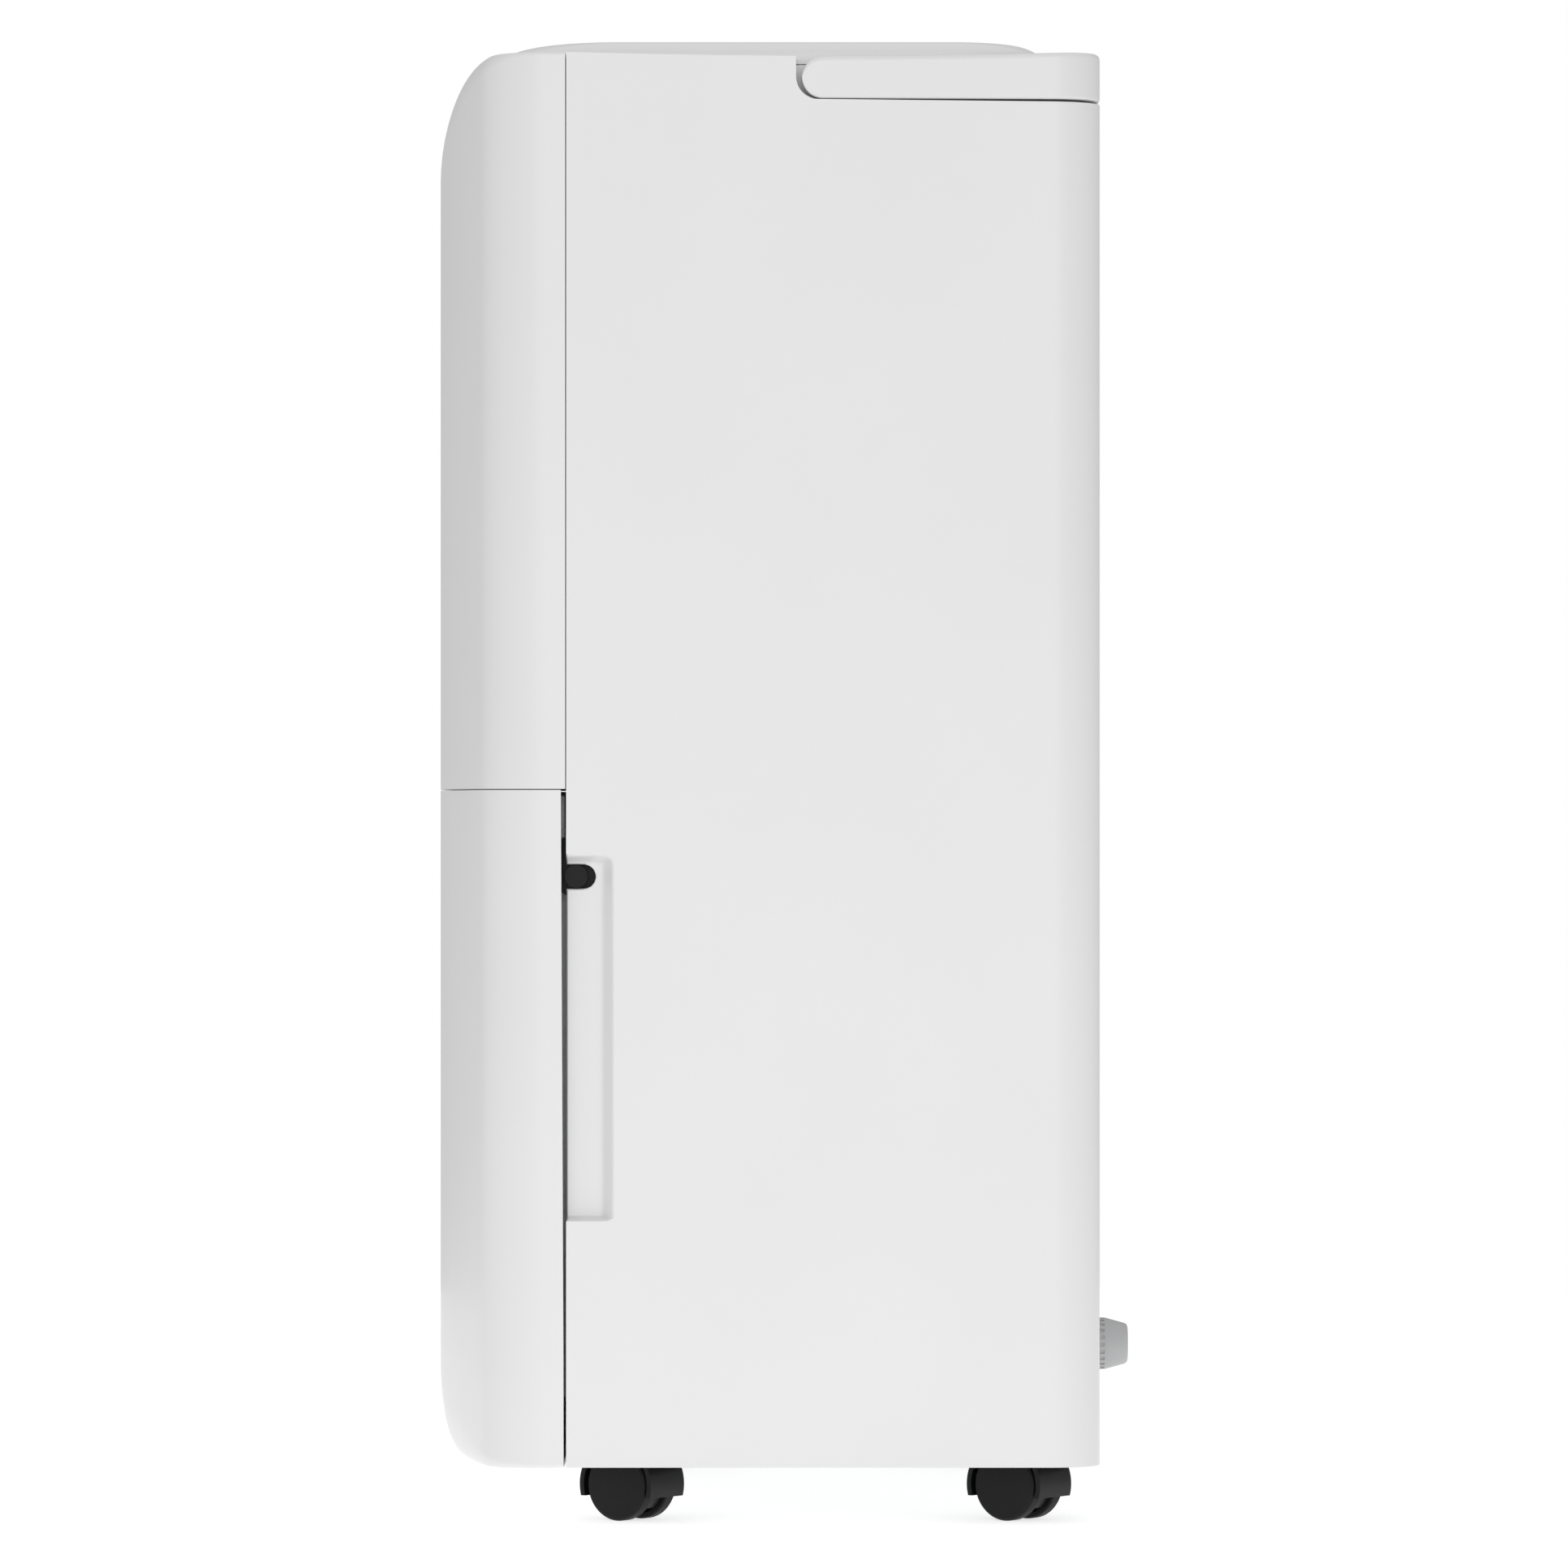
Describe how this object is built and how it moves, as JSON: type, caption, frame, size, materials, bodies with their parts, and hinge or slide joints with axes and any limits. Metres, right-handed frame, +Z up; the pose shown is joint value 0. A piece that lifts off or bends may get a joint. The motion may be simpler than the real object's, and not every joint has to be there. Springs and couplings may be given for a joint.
{
  "type": "dehumidifier",
  "caption": "Portable compressor dehumidifier: bowed white housing on casters, slide-out water bucket, flip-up carry handle, rear air filter and drain spout with cap.",
  "frame": {"origin": "on the floor, at the centre of the overall box", "axes": "+Z up, the bowed front with the bucket faces -Y, the flat back with the air intake faces +Y"},
  "size_m": [0.392, 0.294, 0.616],
  "materials": {
    "body_white": "satin",
    "grille_white": "satin",
    "panel_grey": "satin",
    "button_grey": "satin",
    "display_black": "gloss",
    "inner_plastic": "matte",
    "fan_plastic": "matte",
    "tub_plastic": "satin",
    "float_foam": "matte",
    "clear_window": "gloss",
    "black_plastic": "matte",
    "wheel_rubber": "matte",
    "steel_pins": "satin",
    "coil_fins": "satin",
    "copper": "satin",
    "compressor_paint": "satin",
    "motor_metal": "satin",
    "mount_rubber": "matte",
    "board_green": "satin",
    "capacitor_can": "satin",
    "mesh_grey": "matte",
    "cap_grey": "satin"
  },
  "bodies": {
    "housing": {"base_pan": "inner_plastic", "cabinet": "body_white", "front_panel": "body_white", "top_cover": "body_white", "outlet_grille": "grille_white", "control_panel": "panel_grey", "display_window": "display_black", "handle_pins": "steel_pins", "bulkhead": "inner_plastic", "drip_tray": "inner_plastic", "evaporator_fins": "coil_fins", "condenser_fins": "coil_fins", "coil_tubes": "copper", "refrigerant_pipes": "copper", "compressor": "compressor_paint", "compressor_mounts": "mount_rubber", "fan_scroll": "inner_plastic", "fan_motor": "motor_metal", "control_board": "board_green", "run_capacitor": "capacitor_can", "float_sensor": "black_plastic", "drain_spout": "cap_grey", "cord_bushing": "black_plastic", "rear_screws": "steel_pins"},
    "handle": {"carry_handle": "body_white"},
    "bucket": {"bucket_front": "body_white", "bucket_tub": "tub_plastic", "bucket_lid": "tub_plastic", "level_window": "clear_window", "float_pin": "steel_pins", "bail_pins": "steel_pins"},
    "float": {"bucket_float": "float_foam"},
    "bail": {"bucket_bail": "black_plastic"},
    "filter": {"filter_frame": "grille_white", "filter_mesh": "mesh_grey"},
    "fan": {"fan_wheel": "fan_plastic"},
    "cap_washer": {"drain_cap_washer": "mount_rubber"},
    "cap": {"drain_cap": "cap_grey"},
    "press_power": {"button_power": "button_grey"},
    "press_mode": {"button_mode": "button_grey"},
    "press_fan": {"button_fan": "button_grey"},
    "press_up": {"button_up": "button_grey"},
    "press_down": {"button_down": "button_grey"},
    "press_timer": {"button_timer": "button_grey"},
    "swivel_fl": {"caster_fl_hood": "black_plastic", "caster_fl_pins": "steel_pins"},
    "wheel_fl_in": {"caster_fl_wheel_in": "wheel_rubber"},
    "wheel_fl_out": {"caster_fl_wheel_out": "wheel_rubber"},
    "swivel_fr": {"caster_fr_hood": "black_plastic", "caster_fr_pins": "steel_pins"},
    "wheel_fr_in": {"caster_fr_wheel_in": "wheel_rubber"},
    "wheel_fr_out": {"caster_fr_wheel_out": "wheel_rubber"},
    "swivel_rl": {"caster_rl_hood": "black_plastic", "caster_rl_pins": "steel_pins"},
    "wheel_rl_in": {"caster_rl_wheel_in": "wheel_rubber"},
    "wheel_rl_out": {"caster_rl_wheel_out": "wheel_rubber"},
    "swivel_rr": {"caster_rr_hood": "black_plastic", "caster_rr_pins": "steel_pins"},
    "wheel_rr_in": {"caster_rr_wheel_in": "wheel_rubber"},
    "wheel_rr_out": {"caster_rr_wheel_out": "wheel_rubber"}
  },
  "joints": [
    {"name": "carry_handle_lift", "type": "hinge", "parent": "housing", "child": "handle", "pos_m": [0, 0.018, 0.5991], "axis": [1, 0, 0], "range_deg": [0, 90]},
    {"name": "bucket_slide", "type": "slide", "parent": "housing", "child": "bucket", "axis": [0, -1, 0], "range_m": [0, 0.15]},
    {"name": "bail_lift", "type": "hinge", "parent": "bucket", "child": "bail", "pos_m": [0, -0.0843, 0.2684], "axis": [1, 0, 0], "range_deg": [0, 58]},
    {"name": "float_rise", "type": "hinge", "parent": "bucket", "child": "float", "pos_m": [0.123, -0.037, 0.262], "axis": [-1, 0, 0], "range_deg": [0, 16]},
    {"name": "filter_tilt", "type": "hinge", "parent": "housing", "child": "filter", "pos_m": [0, 0.13, 0.3485], "axis": [-1, 0, 0], "range_deg": [0, 35]},
    {"name": "fan_spin", "type": "hinge", "parent": "housing", "child": "fan", "pos_m": [0, 0.027, 0.452], "axis": [0, 1, 0], "continuous": true},
    {"name": "cap_travel", "type": "slide", "parent": "housing", "child": "cap_washer", "axis": [0, 1, 0], "range_m": [0, 0.006]},
    {"name": "cap_turn", "type": "hinge", "parent": "cap_washer", "child": "cap", "pos_m": [0.11, 0.14, 0.0705], "axis": [0, 1, 0], "range_deg": [0, 720]},
    {"name": "push_power", "type": "slide", "parent": "housing", "child": "press_power", "axis": [0, 0, -1], "range_m": [0, 0.0008], "stiffness_N_per_m": 500},
    {"name": "push_mode", "type": "slide", "parent": "housing", "child": "press_mode", "axis": [0, 0, -1], "range_m": [0, 0.0008], "stiffness_N_per_m": 500},
    {"name": "push_fan", "type": "slide", "parent": "housing", "child": "press_fan", "axis": [0, 0, -1], "range_m": [0, 0.0008], "stiffness_N_per_m": 500},
    {"name": "push_up", "type": "slide", "parent": "housing", "child": "press_up", "axis": [0, 0, -1], "range_m": [0, 0.0008], "stiffness_N_per_m": 500},
    {"name": "push_down", "type": "slide", "parent": "housing", "child": "press_down", "axis": [0, 0, -1], "range_m": [0, 0.0008], "stiffness_N_per_m": 500},
    {"name": "push_timer", "type": "slide", "parent": "housing", "child": "press_timer", "axis": [0, 0, -1], "range_m": [0, 0.0008], "stiffness_N_per_m": 500},
    {"name": "swivel_turn_fl", "type": "hinge", "parent": "housing", "child": "swivel_fl", "pos_m": [-0.163, -0.0592, 0.04], "axis": [0, 0, 1], "continuous": true},
    {"name": "wheel_spin_fl_in", "type": "hinge", "parent": "swivel_fl", "child": "wheel_fl_in", "pos_m": [-0.16472, -0.06166, 0.015], "axis": [0.8192, -0.5736, 0], "continuous": true},
    {"name": "wheel_spin_fl_out", "type": "hinge", "parent": "swivel_fl", "child": "wheel_fl_out", "pos_m": [-0.16472, -0.06166, 0.015], "axis": [0.8192, -0.5736, 0], "continuous": true},
    {"name": "swivel_turn_fr", "type": "hinge", "parent": "housing", "child": "swivel_fr", "pos_m": [0.163, -0.0592, 0.04], "axis": [0, 0, 1], "continuous": true},
    {"name": "wheel_spin_fr_in", "type": "hinge", "parent": "swivel_fr", "child": "wheel_fr_in", "pos_m": [0.16128, -0.06166, 0.015], "axis": [0.8192, -0.5736, 0], "continuous": true},
    {"name": "wheel_spin_fr_out", "type": "hinge", "parent": "swivel_fr", "child": "wheel_fr_out", "pos_m": [0.16128, -0.06166, 0.015], "axis": [0.8192, -0.5736, 0], "continuous": true},
    {"name": "swivel_turn_rl", "type": "hinge", "parent": "housing", "child": "swivel_rl", "pos_m": [-0.163, 0.1023, 0.04], "axis": [0, 0, 1], "continuous": true},
    {"name": "wheel_spin_rl_in", "type": "hinge", "parent": "swivel_rl", "child": "wheel_rl_in", "pos_m": [-0.16472, 0.09984, 0.015], "axis": [0.8192, -0.5736, 0], "continuous": true},
    {"name": "wheel_spin_rl_out", "type": "hinge", "parent": "swivel_rl", "child": "wheel_rl_out", "pos_m": [-0.16472, 0.09984, 0.015], "axis": [0.8192, -0.5736, 0], "continuous": true},
    {"name": "swivel_turn_rr", "type": "hinge", "parent": "housing", "child": "swivel_rr", "pos_m": [0.163, 0.1023, 0.04], "axis": [0, 0, 1], "continuous": true},
    {"name": "wheel_spin_rr_in", "type": "hinge", "parent": "swivel_rr", "child": "wheel_rr_in", "pos_m": [0.16128, 0.09984, 0.015], "axis": [0.8192, -0.5736, 0], "continuous": true},
    {"name": "wheel_spin_rr_out", "type": "hinge", "parent": "swivel_rr", "child": "wheel_rr_out", "pos_m": [0.16128, 0.09984, 0.015], "axis": [0.8192, -0.5736, 0], "continuous": true}
  ],
  "couplings": [
    {"joint": "cap_turn", "follows": "cap_travel", "rad_per_m": 2094.4}
  ]
}
